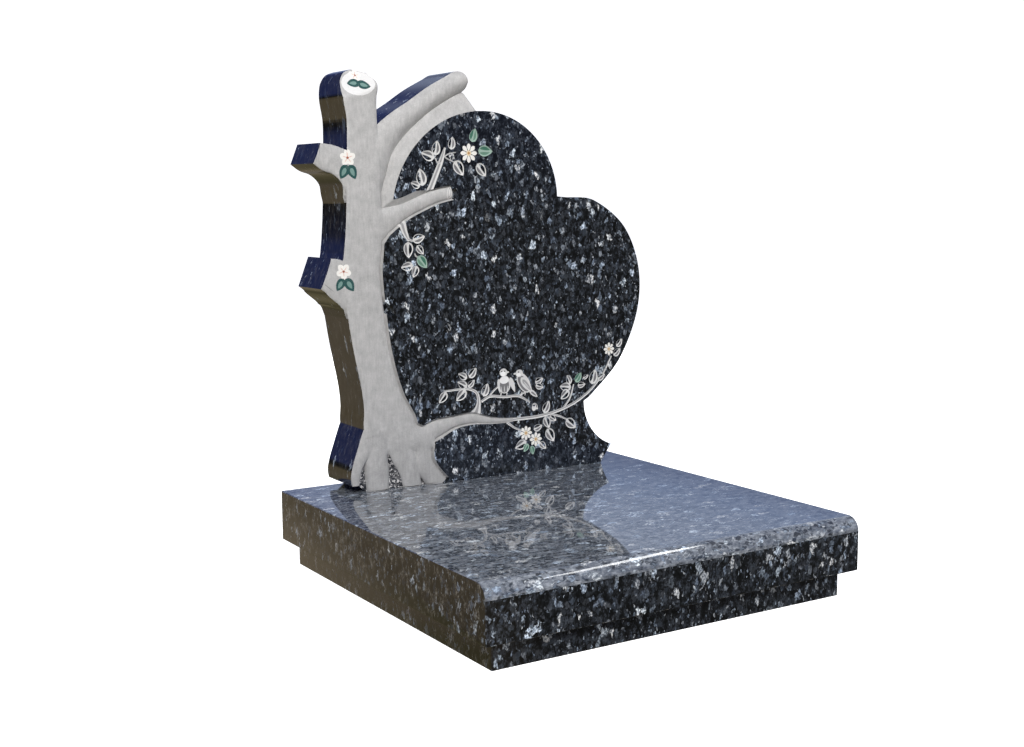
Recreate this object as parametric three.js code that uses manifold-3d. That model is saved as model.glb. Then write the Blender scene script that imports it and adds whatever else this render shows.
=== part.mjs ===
// Cremation monument: a heart headstone with a carved tree, on a bullnosed slab over a plinth.
// Millimetres, +Z up, +X right, front towards -Y, origin under the middle of the plinth.
import * as THREE from 'three';
import { mergeVertices } from 'three/addons/utils/BufferGeometryUtils.js';
import Module from 'manifold-3d';

const wasm = await Module();
wasm.setup();

// Base: a square slab with a rounded front edge, on a smaller plinth
const slabSide = 610;
const slabThick = 76;
const noseRadius = 20;
const plinthHeight = 38;
const plinthInset = 19;
const plinthArris = 1.5;
const bedGap = 0.3;
const slabBottom = plinthHeight + bedGap;
const slabTop = slabBottom + slabThick;

// Headstone: places on it are x from the slab's left edge, y up from the ground and z out of the
// polished face
const stoneThick = 88;
const stoneSetIn = 1;
const stoneFoot = slabTop + bedGap;
const faceY = slabSide / 2 - stoneSetIn - stoneThick;

// Heart outline: two lobes, a waist and a foot
const topLobe = { x: 316, y: 556, r: 137 };
const leftLobe = { x: 316, y: 530, r: 163 };
const rightLobe = [[526, 236], [580, 289], [616, 368], [618, 443], [587, 511], [526, 554], [475, 559]];
const notchAngle = 2;
const waist = { x: 588, y: 222, r: 82, from: 252, to: 180 };
const footRight = [541, 556];
const footRise = 21;
const rootLeft = [106, 88];
const rootRise = 13;

// Hollowed band between the upper branch and the heart's left edge, and the slanted end of it
const bandWidth = 34;
const bandDepth = 12;
const bandEnd = [286, 719];
const bandAngles = { from: 94.9, to: 190 };
const bandOverrun = 8;
const bandSteps = 16;

// Tree limbs: stations are [x, y, half width], walked from the root outwards. Depths are below the
// polished face: at the left and right edge of the walk, and at the crest. Run is how far the cut
// outside an edge reaches for each millimetre of its depth, and near the tip it nears its end value. A
// high square makes the top flatter, and over its fade a limb rises out of the roots.
const trunk = {
  edge: [3, 5], crest: 1, run: [0.8, 0.35], square: 4, fade: 42,
  stations: [
    [142, 170, 40], [147, 200, 45], [141.3, 225, 41.7], [135.5, 250, 34.5], [128, 282, 30.5],
    [118, 327, 29.6], [111.3, 368, 30.2], [105, 450, 29], [107.8, 500, 30.2], [108.5, 580, 28.5],
    [108.8, 632, 26.2], [107.8, 678, 25.2], [105.8, 709, 27.7], [108, 726, 28], [110, 738, 23],
    [112, 746.5, 11],
  ],
};
const upperBranch = {
  edge: [9, 11], crest: 1, run: [0.8, 0.8], square: 2,
  stations: [
    [110, 500, 15], [117, 555, 20], [126, 600, 24], [139, 635, 23], [164, 663, 19.5], [199, 691, 16.5],
    [230, 712, 16], [262, 729, 15.7], [275, 735.5, 16], [283, 739.3, 12.5], [287, 741, 6.5],
  ],
};
const middleBranch = {
  edge: [6, 6], crest: 1, run: [1.7, 0.35], runEnd: [0.2, 0.35], square: 2,
  stations: [
    [112, 500, 24], [132, 520, 22], [152, 530, 17], [176, 540, 11.5], [204, 552, 10.5], [232, 563, 10.5],
    [258, 568, 9.5],
  ],
};
const lowerBranch = {
  edge: [6, 6], crest: 1.2, run: [0.45, 0.35], square: 2,
  stations: [
    [140, 218, 16], [166, 197, 18], [196, 191, 15], [226, 202, 12.5], [258, 209, 9], [290, 212, 8],
    [321, 206.5, 5], [345, 204, 3.5], [366, 203.5, 2.8],
  ],
};
const upperStub = {
  edge: [5, 5], crest: 2, square: 2,
  stations: [
    [110, 556, 31], [107, 574, 31], [98, 592, 27.5], [84, 605, 23], [66, 614.8, 20.3], [50, 619.6, 19.8],
    [34.8, 625.6, 16],
  ],
};
const lowerStub = {
  edge: [5, 5], crest: 2, square: 2,
  stations: [
    [112, 380, 34], [107.5, 396.8, 33], [99.8, 412.8, 32], [88.7, 425.5, 33], [71.1, 436.2, 29.5],
    [58.5, 444.5, 27.5], [45.2, 449.8, 23.8],
  ],
};
const toes = [
  {
    edge: [12, 4], crest: 1.5, square: 2,
    stations: [
      [134, 240, 18], [115, 204, 16], [100.5, 176, 12], [89, 152, 8.6], [85.6, 135, 7.6], [85, 124, 6.2],
    ],
  },
  {
    edge: [12, 12], crest: 1.5, square: 2.5,
    stations: [[137, 236, 22], [129, 200, 24], [122, 168, 20], [122.3, 142, 22.2], [122.5, 112, 20.5]],
  },
  {
    edge: [12, 12], crest: 1.5, square: 2.5,
    stations: [[146, 236, 22], [157, 200, 24], [169, 165, 19], [175.5, 138, 18.5], [181, 112, 18]],
  },
  {
    edge: [6, 12], crest: 1.5, run: [0.35, 0.8], square: 2,
    stations: [
      [152, 228, 11], [178, 203, 14], [202, 184, 16], [206, 166, 11.5], [207, 150, 12],
      [214, 135, 12.5], [230, 111, 16],
    ],
  },
];
const thinEdge = 0.6;
const thinCrest = 0.2;
const rootPocketDepth = 12;
const rootPocketTop = 172;

// Sawn face on top of the trunk: a plane through the lip, falling back along its slope
const sawnLip = { x: 97, y: 710, z: -1 };
const sawnTurn = 18.7;
const sawnSlope = 32;

// Twigs are V grooves along [x, y, half width] stations
const grooveDepth = 1.2;
const twigs = [
  [[222, 576, 5], [232, 598, 4.5], [240, 616, 4], [247, 636, 2]],
  [[172, 520, 6], [176, 508, 4.5], [182, 496, 2]],
  [[299, 219, 6], [303, 238, 3.5], [300, 252, 2.5], [285, 260, 2], [240, 260, 1.5]],
  [[306, 236, 2.5], [324, 245, 2.2], [350, 242, 2], [378, 240, 2], [404, 227, 1.2]],
  [[364, 203.5, 3], [423, 205, 2.8], [475, 216, 2.5], [512, 234, 2.2], [543, 262, 2], [562, 294, 1.2]],
  [[466, 213, 2], [478, 229, 1.8], [484, 250, 1.2]],
  [[440, 206, 2], [458, 201, 1.8], [474, 192, 1.2]],
  [[358, 200, 2.2], [370, 187, 1.8], [384, 181, 1.2]],
];

// Leaf sprays: leaves fan out from a point on a twig, round a middle direction in degrees
const leafWidth = 0.33;
const leafFullness = 0.8;
const leafRings = [0.2, 0.48, 0.8];
const midribDepth = 0.4;
const sprays = [
  { x: 214, y: 582, count: 2, middle: 150, spread: 60, length: 26 },
  { x: 230, y: 614, count: 2, middle: 117, spread: 56, length: 26 },
  { x: 254, y: 630, count: 2, middle: 30, spread: 90, length: 22 },
  { x: 184, y: 496, count: 3, middle: -40, spread: 110, length: 27 },
  { x: 196, y: 464, count: 3, middle: -110, spread: 110, length: 26 },
  { x: 242, y: 260, count: 2, middle: 193, spread: 66, length: 22 },
  { x: 281, y: 262, count: 4, middle: 138, spread: 180, length: 28 },
  { x: 309, y: 244, count: 1, middle: 68, spread: 0, length: 25 },
  { x: 404, y: 257, count: 2, middle: 6, spread: 40, length: 23 },
  { x: 431, y: 208, count: 1, middle: 76, spread: 0, length: 24 },
  { x: 434, y: 203, count: 2, middle: -58, spread: 34, length: 27 },
  { x: 440, y: 182, count: 1, middle: -66, spread: 0, length: 26 },
  { x: 471, y: 194, count: 1, middle: -38, spread: 0, length: 25 },
  { x: 478, y: 250, count: 3, middle: 160, spread: 130, length: 22 },
  { x: 489, y: 257, count: 2, middle: 4, spread: 52, length: 22 },
  { x: 526, y: 247, count: 2, middle: 48, spread: 46, length: 23 },
];

// Daisies: petals round a middle, with leaves set at angles under them
const petalCount = 8;
const petalWidth = 0.22;
const petalEnd = 0.8;
const petalAt = { base: 0.16, wide: 0.6, end: 0.9, tip: 1 };
const daisies = [
  { x: 289, y: 628, r: 14, leaves: [70, 4, -50, -115] },
  { x: 391, y: 180, r: 12, leaves: [-128, -92] },
  { x: 410, y: 168, r: 12, leaves: [-108, -48] },
  { x: 558, y: 306, r: 11, leaves: [-22, 26] },
];
const daisyLeaf = 24;

// Two small birds on a twig: flat ovals for body and head, leaf shapes for wings and tail
const birds = [
  {
    body: { x: 349, y: 264, rx: 10, ry: 14, turn: 0 }, head: { x: 348, y: 280, rx: 7, ry: 7, turn: 0 },
    feathers: [[338, 274, 268, 24], [360, 274, 280, 26], [350, 252, 275, 14]],
  },
  {
    body: { x: 388, y: 264, rx: 10, ry: 18, turn: 33 }, head: { x: 380, y: 279, rx: 7, ry: 7, turn: 0 },
    feathers: [[384, 274, 302, 34], [400, 249, 308, 20]],
  },
];

const degrees = Math.PI / 180;
const clear = 2;
const lip = 0.1;
const stationSteps = 3;
const arcSteps = 6;
const outlineSegments = 6;
const dishSegments = [12, 4];

// A solid for joining and cutting, from a closed geometry
function solidOf(geometry) {
  geometry.deleteAttribute('normal');
  geometry.deleteAttribute('uv');
  const merged = mergeVertices(geometry, 1e-3);
  const vertProperties = new Float32Array(merged.attributes.position.array);
  const triVerts = new Uint32Array(merged.index.array);
  return new wasm.Manifold(new wasm.Mesh({ numProp: 3, vertProperties, triVerts }));
}

// The geometry of a finished solid
function geometryOf(solid) {
  const mesh = solid.getMesh();
  const geometry = new THREE.BufferGeometry();
  geometry.setAttribute('position', new THREE.Float32BufferAttribute(mesh.vertProperties, 3));
  geometry.setIndex(new THREE.Uint32BufferAttribute(mesh.triVerts, 1));
  geometry.computeVertexNormals();
  return geometry;
}

// Signed volume of a triangle list, used to turn a solid's faces outwards
function volumeOf(points, triangles) {
  const normal = new THREE.Vector3();
  return triangles.reduce((sum, [a, b, c]) => {
    normal.crossVectors(points[b], points[c]);
    return sum + points[a].dot(normal) / 6;
  }, 0);
}

// A solid through rings of points: a ring of one point closes to a tip, a larger end ring gets a cap
function loft(rings) {
  const points = rings.flat();
  const starts = rings.map((ring, i) => rings.slice(0, i).reduce((sum, r) => sum + r.length, 0));
  const triangles = [];
  for (let i = 0; i + 1 < rings.length; i++) {
    const here = rings[i].length;
    const next = rings[i + 1].length;
    const around = Math.max(here, next);
    for (let k = 0; k < around; k++) {
      const a = starts[i] + (k % here);
      const b = starts[i] + ((k + 1) % here);
      const c = starts[i + 1] + ((k + 1) % next);
      const d = starts[i + 1] + (k % next);
      if (here > 1) triangles.push([a, b, c]);
      if (next > 1) triangles.push([a, c, d]);
    }
  }
  const last = rings.length - 1;
  for (let k = 1; k + 1 < rings[0].length; k++) {
    triangles.push([starts[0], starts[0] + k + 1, starts[0] + k]);
  }
  for (let k = 1; k + 1 < rings[last].length; k++) {
    triangles.push([starts[last], starts[last] + k, starts[last] + k + 1]);
  }
  const inward = volumeOf(points, triangles) < 0;
  const geometry = new THREE.BufferGeometry().setFromPoints(points);
  geometry.setIndex(triangles.flatMap(([a, b, c]) => (inward ? [a, c, b] : [a, b, c])));
  return solidOf(geometry);
}

// Steps along stations, each with its place, its half width and the direction to its left
function walk(stations) {
  const curve = new THREE.CatmullRomCurve3(stations.map(([x, y, half]) => new THREE.Vector3(x, y, half)));
  const points = curve.getPoints((stations.length - 1) * stationSteps);
  return points.map((point, i) => {
    const before = points[Math.max(0, i - 1)];
    const after = points[Math.min(points.length - 1, i + 1)];
    const left = new THREE.Vector2(before.y - after.y, after.x - before.x).normalize();
    return { x: point.x, y: point.y, half: point.z, left };
  });
}

// A point beside a step of a walk, so far to the left and so far out of the face
function beside(step, across, out) {
  return new THREE.Vector3(step.x + step.left.x * across, step.y + step.left.y * across, out);
}

// The depth of a limb's edge, less where the limb is thin
function edgeDepth(depth, half) {
  return Math.min(depth, thinEdge * half);
}

// A limb's body: straight sides from the back, and a front that swells from its edges to its crest
function limbBody(limb) {
  const start = new THREE.Vector2(...limb.stations[0]);
  const rings = walk(limb.stations).map((step) => {
    const risen = limb.fade ? THREE.MathUtils.smoothstep(start.distanceTo(step), 0, limb.fade) : 1;
    const ring = [beside(step, -step.half, -stoneThick)];
    for (let k = 0; k <= arcSteps; k++) {
      const across = -Math.cos((Math.PI * k) / arcSteps);
      const edge = edgeDepth(limb.edge[across > 0 ? 0 : 1], step.half);
      const crest = THREE.MathUtils.lerp(edge, Math.min(limb.crest, thinCrest * step.half), risen);
      const swell = Math.sqrt(1 - Math.abs(across) ** limb.square);
      ring.push(beside(step, across * step.half, -edge + (edge - crest) * swell));
    }
    ring.push(beside(step, step.half, -stoneThick));
    return ring;
  });
  return loft(rings);
}

// The channel that a limb lies in: a floor at its edges' depth, and sides that slope up to the face
function limbChannel(limb) {
  const steps = walk(limb.stations);
  const tip = limb.runEnd ?? limb.run;
  const rings = steps.map((step, i) => {
    const floor = edgeDepth(Math.max(...limb.edge), step.half);
    const tapered = (i / (steps.length - 1)) ** 3;
    const [left, right] = limb.run.map((run, side) => {
      const reach = THREE.MathUtils.lerp(run, tip[side], tapered);
      return step.half + reach * (floor + clear);
    });
    return [
      beside(step, -step.half, -floor), beside(step, step.half, -floor),
      beside(step, left, clear), beside(step, -right, clear),
    ];
  });
  const end = steps[steps.length - 1];
  const reach = limb.run[1] * (edgeDepth(limb.edge[1], end.half) + clear);
  const ahead = new THREE.Vector3(end.left.y, -end.left.x, 0).multiplyScalar(reach);
  const lifted = rings[rings.length - 1].map((point) => {
    const raised = Math.max(point.z, clear - lip);
    return point.clone().setZ(raised).add(ahead);
  });
  return loft([...rings, lifted]);
}

// A V groove for a twig, as wide at the face as its stations say
function twigGroove(stations) {
  const widen = 1 + clear / grooveDepth;
  return loft(walk(stations).map((step) => [
    beside(step, -step.half * widen, clear),
    beside(step, 0, -grooveDepth),
    beside(step, step.half * widen, clear),
  ]));
}

// Steps along a straight line from a point, at shares of its length
function stepsAlong(x, y, angle, length) {
  const along = new THREE.Vector2(Math.cos(angle), Math.sin(angle));
  const left = new THREE.Vector2(-along.y, along.x);
  return (t) => ({ x: x + along.x * length * t, y: y + along.y * length * t, left });
}

// A leaf cut: two hollows with a low midrib between them, from its base point along an angle
function leafCut(x, y, angle, length) {
  const step = stepsAlong(x, y, angle * degrees, length);
  const rings = leafRings.map((t) => {
    const half = length * leafWidth * Math.sin(Math.PI * t ** leafFullness) ** leafFullness;
    return [
      beside(step(t), -half, lip),
      beside(step(t), -half / 2, -grooveDepth),
      beside(step(t), 0, -midribDepth),
      beside(step(t), half / 2, -grooveDepth),
      beside(step(t), half, lip),
    ];
  });
  return loft([[beside(step(0), 0, lip)], ...rings, [beside(step(1), 0, lip)]]);
}

// A petal cut: one hollow, widest towards its tip
function petalCut(x, y, angle, length) {
  const step = stepsAlong(x, y, angle, length);
  const half = length * petalWidth;
  const hollow = (t, across) => [
    beside(step(t), -across, lip), beside(step(t), 0, -grooveDepth), beside(step(t), across, lip),
  ];
  return loft([
    [beside(step(petalAt.base), 0, lip)],
    hollow(petalAt.wide, half),
    hollow(petalAt.end, half * petalEnd),
    [beside(step(petalAt.tip), 0, lip)],
  ]);
}

// A shallow oval dish in the face
function ovalCut({ x, y, rx, ry, turn }) {
  const geometry = new THREE.SphereGeometry(1, ...dishSegments);
  geometry.scale(rx, ry, grooveDepth);
  geometry.rotateZ(turn * degrees);
  geometry.translate(x, y, 0);
  return solidOf(geometry);
}

// The heart with its foot, and the stone that runs on behind the tree
function heartBody() {
  const shape = new THREE.Shape();
  shape.moveTo(rootLeft[0], stoneFoot);
  shape.lineTo(footRight[0], stoneFoot);
  shape.lineTo(footRight[1], stoneFoot + footRise);
  shape.absarc(waist.x, waist.y, waist.r, waist.from * degrees, waist.to * degrees, true);
  shape.splineThru(rightLobe.map(([x, y]) => new THREE.Vector2(x, y)));
  shape.absarc(topLobe.x, topLobe.y, topLobe.r, notchAngle * degrees, Math.PI / 2, false);
  shape.absarc(leftLobe.x, leftLobe.y, leftLobe.r, Math.PI / 2, bandAngles.from * degrees, false);
  shape.lineTo(...bandEnd);
  const behindTree = [
    ...upperBranch.stations.slice(1, -3).reverse(),
    ...trunk.stations.slice(3, 9).reverse(),
    ...toes[0].stations.slice(2, 4),
  ];
  for (const [x, y] of behindTree) shape.lineTo(x, y);
  shape.lineTo(rootLeft[1], stoneFoot + rootRise);
  const geometry = new THREE.ExtrudeGeometry(shape, {
    depth: stoneThick, bevelEnabled: false, curveSegments: outlineSegments,
  });
  geometry.translate(0, 0, -stoneThick);
  return solidOf(geometry);
}

// The band's cut: a slope that falls away from the heart's left edge
function bandCut() {
  const inner = leftLobe.r - (clear * bandWidth) / bandDepth;
  const outer = leftLobe.r + bandWidth;
  const rings = [];
  for (let i = 0; i <= bandSteps; i++) {
    const turn = THREE.MathUtils.lerp(bandAngles.from - bandOverrun, bandAngles.to, i / bandSteps);
    const along = new THREE.Vector3(Math.cos(turn * degrees), Math.sin(turn * degrees), 0);
    const spot = (r, z) => new THREE.Vector3(leftLobe.x, leftLobe.y, z).addScaledVector(along, r);
    rings.push([spot(inner, clear), spot(outer, -bandDepth), spot(outer, clear)]);
  }
  return loft(rings);
}

// The deep ground between the roots
function rootPocket() {
  const [outer, inner] = [toes[0], toes[3]].map((toe) => toe.stations);
  const shape = new THREE.Shape();
  shape.moveTo(outer[5][0] - outer[5][2], stoneFoot - clear);
  shape.lineTo(inner[6][0], stoneFoot - clear);
  shape.lineTo(inner[4][0], inner[4][1]);
  shape.lineTo(inner[2][0] - inner[2][2], rootPocketTop);
  for (const [x, y, half] of outer.slice(1, 5)) shape.lineTo(x - half, y);
  const depth = rootPocketDepth + clear;
  const geometry = new THREE.ExtrudeGeometry(shape, { depth, bevelEnabled: false });
  geometry.translate(0, 0, -rootPocketDepth);
  return solidOf(geometry);
}

// The block that the saw takes off the top of the trunk
function sawnBlock() {
  const reach = 120;
  const geometry = new THREE.BoxGeometry(reach, reach, reach);
  geometry.translate(0, reach / 2 - clear, reach / 2);
  geometry.rotateX(-sawnSlope * degrees);
  geometry.rotateZ(sawnTurn * degrees);
  geometry.translate(sawnLip.x, sawnLip.y, sawnLip.z);
  return solidOf(geometry);
}

// Everything below the bed of the headstone
function groundBlock() {
  const geometry = new THREE.BoxGeometry(2 * slabSide, stoneFoot, 4 * stoneThick);
  geometry.translate(slabSide / 2, stoneFoot / 2, 0);
  return solidOf(geometry);
}

// All leaves, petals, birds and twigs in the polished face
function faceCuts() {
  const cuts = twigs.map(twigGroove);
  for (const { x, y, count, middle, spread, length } of sprays) {
    for (let i = 0; i < count; i++) {
      const turn = count > 1 ? spread * (i / (count - 1) - 0.5) : 0;
      cuts.push(leafCut(x, y, middle + turn, length));
    }
  }
  for (const { x, y, r, leaves } of daisies) {
    for (let i = 0; i < petalCount; i++) {
      cuts.push(petalCut(x, y, (2 * Math.PI * i) / petalCount, r));
    }
    for (const angle of leaves) {
      const base = new THREE.Vector2(r + 1, 0).rotateAround(new THREE.Vector2(), angle * degrees);
      cuts.push(leafCut(x + base.x, y + base.y, angle, daisyLeaf));
    }
  }
  for (const { body, head, feathers } of birds) {
    cuts.push(ovalCut(body), ovalCut(head));
    for (const [x, y, angle, length] of feathers) cuts.push(leafCut(x, y, angle, length));
  }
  return cuts;
}

function headstoneGeometry() {
  const limbs = [trunk, upperBranch, middleBranch, lowerBranch, upperStub, lowerStub, ...toes];
  const channels = limbs.filter((limb) => limb.run).map(limbChannel);
  const cuts = [...channels, bandCut(), rootPocket(), ...faceCuts()];
  const heart = cuts.reduce((stone, cut) => stone.subtract(cut), heartBody());
  const whole = limbs.map(limbBody).reduce((stone, body) => stone.add(body), heart);
  return geometryOf(whole.subtract(sawnBlock()).subtract(groundBlock()));
}

// Slab: its side profile with the rounded front top edge, carried across its width
function slabGeometry() {
  const profile = new THREE.Shape();
  profile.moveTo(0, 0);
  profile.lineTo(slabSide, 0);
  profile.lineTo(slabSide, slabThick);
  profile.lineTo(noseRadius, slabThick);
  profile.absarc(noseRadius, slabThick - noseRadius, noseRadius, Math.PI / 2, Math.PI, false);
  return new THREE.ExtrudeGeometry(profile, {
    depth: slabSide, bevelEnabled: false, curveSegments: outlineSegments,
  });
}

// Plinth: a square course with its edges just broken
function plinthGeometry() {
  const side = slabSide - 2 * plinthInset - 2 * plinthArris;
  const square = new THREE.Shape();
  square.moveTo(-side / 2, -side / 2);
  square.lineTo(side / 2, -side / 2);
  square.lineTo(side / 2, side / 2);
  square.lineTo(-side / 2, side / 2);
  return new THREE.ExtrudeGeometry(square, {
    depth: plinthHeight - 2 * plinthArris,
    bevelThickness: plinthArris,
    bevelSize: plinthArris,
    bevelSegments: 1,
  });
}

const polished = new THREE.MeshStandardMaterial({ color: 0x1b1f28, roughness: 0.12, metalness: 0 });
const frosted = new THREE.MeshStandardMaterial({ color: 0x5a5c60, roughness: 0.5, metalness: 0 });

const monument = new THREE.Group();

const plinth = new THREE.Mesh(plinthGeometry(), polished);
plinth.name = 'plinth';
plinth.position.z = plinthArris;
monument.add(plinth);

const slab = new THREE.Mesh(slabGeometry(), polished);
slab.name = 'base_slab';
slab.rotation.set(Math.PI / 2, Math.PI / 2, 0);
slab.position.set(-slabSide / 2, -slabSide / 2, slabBottom);
monument.add(slab);

const headstone = new THREE.Mesh(headstoneGeometry(), frosted);
headstone.name = 'headstone';
headstone.rotation.x = Math.PI / 2;
headstone.position.set(-slabSide / 2, faceY, 0);
monument.add(headstone);

export default monument;
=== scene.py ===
import bmesh
import bpy
import numpy as np
from mathutils import Matrix, Vector
from mathutils.geometry import delaunay_2d_cdt


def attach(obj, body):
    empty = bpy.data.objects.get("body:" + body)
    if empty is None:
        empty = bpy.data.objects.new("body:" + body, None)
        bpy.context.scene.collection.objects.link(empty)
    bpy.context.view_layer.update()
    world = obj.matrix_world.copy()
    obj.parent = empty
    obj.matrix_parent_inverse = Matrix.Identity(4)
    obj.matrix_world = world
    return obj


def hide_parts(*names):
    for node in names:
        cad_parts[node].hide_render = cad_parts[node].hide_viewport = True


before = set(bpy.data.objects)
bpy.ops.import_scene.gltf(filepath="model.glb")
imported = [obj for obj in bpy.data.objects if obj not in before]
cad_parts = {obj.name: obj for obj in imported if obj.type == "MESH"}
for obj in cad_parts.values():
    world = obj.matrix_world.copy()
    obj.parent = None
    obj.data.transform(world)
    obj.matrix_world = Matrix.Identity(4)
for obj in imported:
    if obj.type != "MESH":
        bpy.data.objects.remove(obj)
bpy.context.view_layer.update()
scene = bpy.context.scene
scene.view_settings.view_transform = "Standard"
print("frame loaded:", ", ".join(sorted(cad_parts)))


# Camera

view = {"lens": 48.16, "place": (-1.0993, -1.6353, 0.5678), "turn": -32.04, "tilt": 7.54, "roll": -0.31}


def makeCamera():
    # turned about the upright, tilted down, then rolled a touch about its line of sight
    data = bpy.data.cameras.new("camera")
    data.sensor_width = 36
    data.lens = view["lens"]
    data.clip_end = 60
    camera = bpy.data.objects.new("camera", data)
    scene.collection.objects.link(camera)
    turn, tilt, roll = np.radians([view["turn"], 90 - view["tilt"], view["roll"]])
    camera.matrix_world = (Matrix.Translation(view["place"]) @ Matrix.Rotation(turn, 4, "Z")
                           @ Matrix.Rotation(tilt, 4, "X") @ Matrix.Rotation(roll, 4, "Z"))
    scene.camera = camera


makeCamera()
print("camera set")


# Nodes: one call makes a node, sets its choices and fills or links its sockets

def node(tree, kind, inputs=None, **choices):
    made = tree.nodes.new(kind)
    for key, value in choices.items():
        setattr(made, key, value)
    for key, value in (inputs or {}).items():
        if isinstance(value, bpy.types.NodeSocket):
            tree.links.new(value, made.inputs[key])
        else:
            made.inputs[key].default_value = value
    return made


def ramp(tree, factor, stops, ease="LINEAR"):
    # stops are (place, colour or grey)
    made = node(tree, "ShaderNodeValToRGB", {"Fac": factor})
    made.color_ramp.interpolation = ease
    elements = made.color_ramp.elements
    while len(elements) < len(stops):
        elements.new(0.5)
    for element, (place, colour) in zip(elements, stops):
        element.position = place
        element.color = (*colour, 1) if isinstance(colour, tuple) else (colour, colour, colour, 1)
    return made.outputs["Color"]


def blendColour(tree, factor, a, b, mode="MIX"):
    # sockets 6, 7 and 2 are the node's colours
    return node(tree, "ShaderNodeMix", {0: factor, 6: a, 7: b}, data_type="RGBA", blend_type=mode).outputs[2]


def sums(tree, mode, a, b):
    return node(tree, "ShaderNodeMath", {0: a, 1: b}, operation=mode).outputs[0]


def weighed(tree, sources, shares):
    # every source times its share, all added up
    parts = [sums(tree, "MULTIPLY", source, share) for source, share in zip(sources, shares)]
    total = parts.pop()
    while parts:
        total = sums(tree, "ADD", parts.pop(), total)
    return total


def vectorMath(tree, mode, inputs):
    return node(tree, "ShaderNodeVectorMath", inputs, operation=mode).outputs[0]


def noise(tree, place, scale, detail=2.0, rough=0.5):
    inputs = {"Vector": place, "Scale": scale, "Detail": detail, "Roughness": rough}
    return node(tree, "ShaderNodeTexNoise", inputs).outputs


def bumped(tree, height, strength, depth):
    inputs = {"Height": height, "Strength": strength, "Distance": depth}
    return node(tree, "ShaderNodeBump", inputs).outputs[0]


def newMaterial(name):
    material = bpy.data.materials.new(name)
    material.use_nodes = True
    material.node_tree.nodes.clear()
    return material, material.node_tree


def finishMaterial(tree, inputs):
    shader = node(tree, "ShaderNodeBsdfPrincipled", inputs)
    node(tree, "ShaderNodeOutputMaterial", {"Surface": shader.outputs[0]})


# Polished granite: a cloudy ground, and crystals in four sizes, each one cell of a warped Voronoi pattern
# with a ragged edge. Sizes are cells in a metre, share of cells that show, and the darkest and palest
# crystal of that size. Long is how far the pattern is drawn out each way.

granite = {
    "sizes": [(170, 0.22, 0.14, 0.36), (330, 0.12, 0.35, 0.9), (150, 0.09, 0.5, 0.9), (110, 0.075, 0.84, 1.1)],
    "crystal": [(0.0, (0.011, 0.0125, 0.015)), (0.3, (0.042, 0.049, 0.06)), (0.6, (0.16, 0.185, 0.22)),
                (0.85, (0.44, 0.49, 0.54)), (1.0, (0.84, 0.88, 0.9))],
    "tints": [(0.25, (1.05, 1.0, 0.96)), (0.6, (0.96, 1.0, 1.03)), (0.9, (0.92, 0.99, 1.1))],
    "rim": [(0.27, 0.0), (0.44, 1.0)], "broken": [(0.42, 1.0), (0.6, 0.5)], "fray": 0.5, "pickSoft": 0.01,
    "warp": 0.0075, "warpScale": 190, "grainScale": 420.0, "cloudScale": 120.0, "shares": (0.65, 0.35),
    "roughSpread": 0.03, "bump": 0.04, "bumpDepth": 0.0002, "coat": 0.0, "ior": 1.52,
}
looks = {
    "polished_face": {"long": (1, 1, 1.45), "size": 1.0, "flecks": 1.0, "rough": 0.035, "ground": [
        (0.42, (0.0018, 0.0021, 0.0024)), (0.5, (0.0085, 0.0098, 0.0115)), (0.57, (0.03, 0.035, 0.044)),
        (0.68, (0.07, 0.083, 0.1))]},
    # the side look's ground is tinted brown and paler than the face, a painted reflection of brown ground; its
    # drawn-out, sparser crystals are the stone's own
    "polished_side_painted_reflection": {"long": (1, 1, 1.8), "size": 1.0, "flecks": 0.75, "rough": 0.05, "ground": [
        (0.43, (0.0012, 0.0011, 0.001)), (0.5, (0.012, 0.011, 0.009)), (0.56, (0.066, 0.06, 0.05)),
        (0.65, (0.28, 0.27, 0.25))]},
    "polished_wall": {"long": (1, 1, 3.2), "size": 0.9, "flecks": 0.3, "rough": 0.05, "ground": [
        (0.4, (0.003, 0.003, 0.0026)), (0.49, (0.012, 0.011, 0.009)), (0.57, (0.034, 0.032, 0.027)),
        (0.68, (0.1, 0.094, 0.082))]},
    # the top look is painted far paler than the face, with more pale crystals: painted light from above and a
    # painted sheen on the same stone
    "polished_top_painted_light": {"long": (1.7, 1, 1), "size": 1.05, "flecks": 2.1, "rough": 0.02, "bump": 0.012,
                     "coat": 0.6, "ground": [
        (0.38, (0.074, 0.085, 0.107)), (0.5, (0.163, 0.18, 0.208)), (0.62, (0.34, 0.362, 0.395))]},
}


def crystals(tree, place, grain, scale, share, low, high):
    # the chosen cells, frayed along their edges by the grain, and each one's own colour broken by it
    cells = node(tree, "ShaderNodeTexVoronoi", {"Vector": place, "Scale": scale})
    rim = node(tree, "ShaderNodeTexVoronoi", {"Vector": place, "Scale": scale},
               feature="DISTANCE_TO_EDGE").outputs[0]
    pick = node(tree, "ShaderNodeSeparateColor", {"Color": cells.outputs["Color"]})
    soft, fray = granite["pickSoft"], granite["fray"]
    chosen = ramp(tree, pick.outputs[0], [(1 - share - soft, 0.0), (1 - share + soft, 1.0)])
    frayed = sums(tree, "ADD", rim, sums(tree, "MULTIPLY", grain, -fray))
    body = ramp(tree, sums(tree, "ADD", frayed, fray), granite["rim"])
    bright = node(tree, "ShaderNodeMapRange", {"Value": pick.outputs[1], 3: low, 4: high}).outputs[0]
    broken = sums(tree, "MULTIPLY", bright, ramp(tree, grain, granite["broken"]))
    tint = ramp(tree, pick.outputs[2], granite["tints"])
    shade = blendColour(tree, 1.0, ramp(tree, broken, granite["crystal"]), tint, "MULTIPLY")
    return sums(tree, "MULTIPLY", chosen, body), shade


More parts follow.
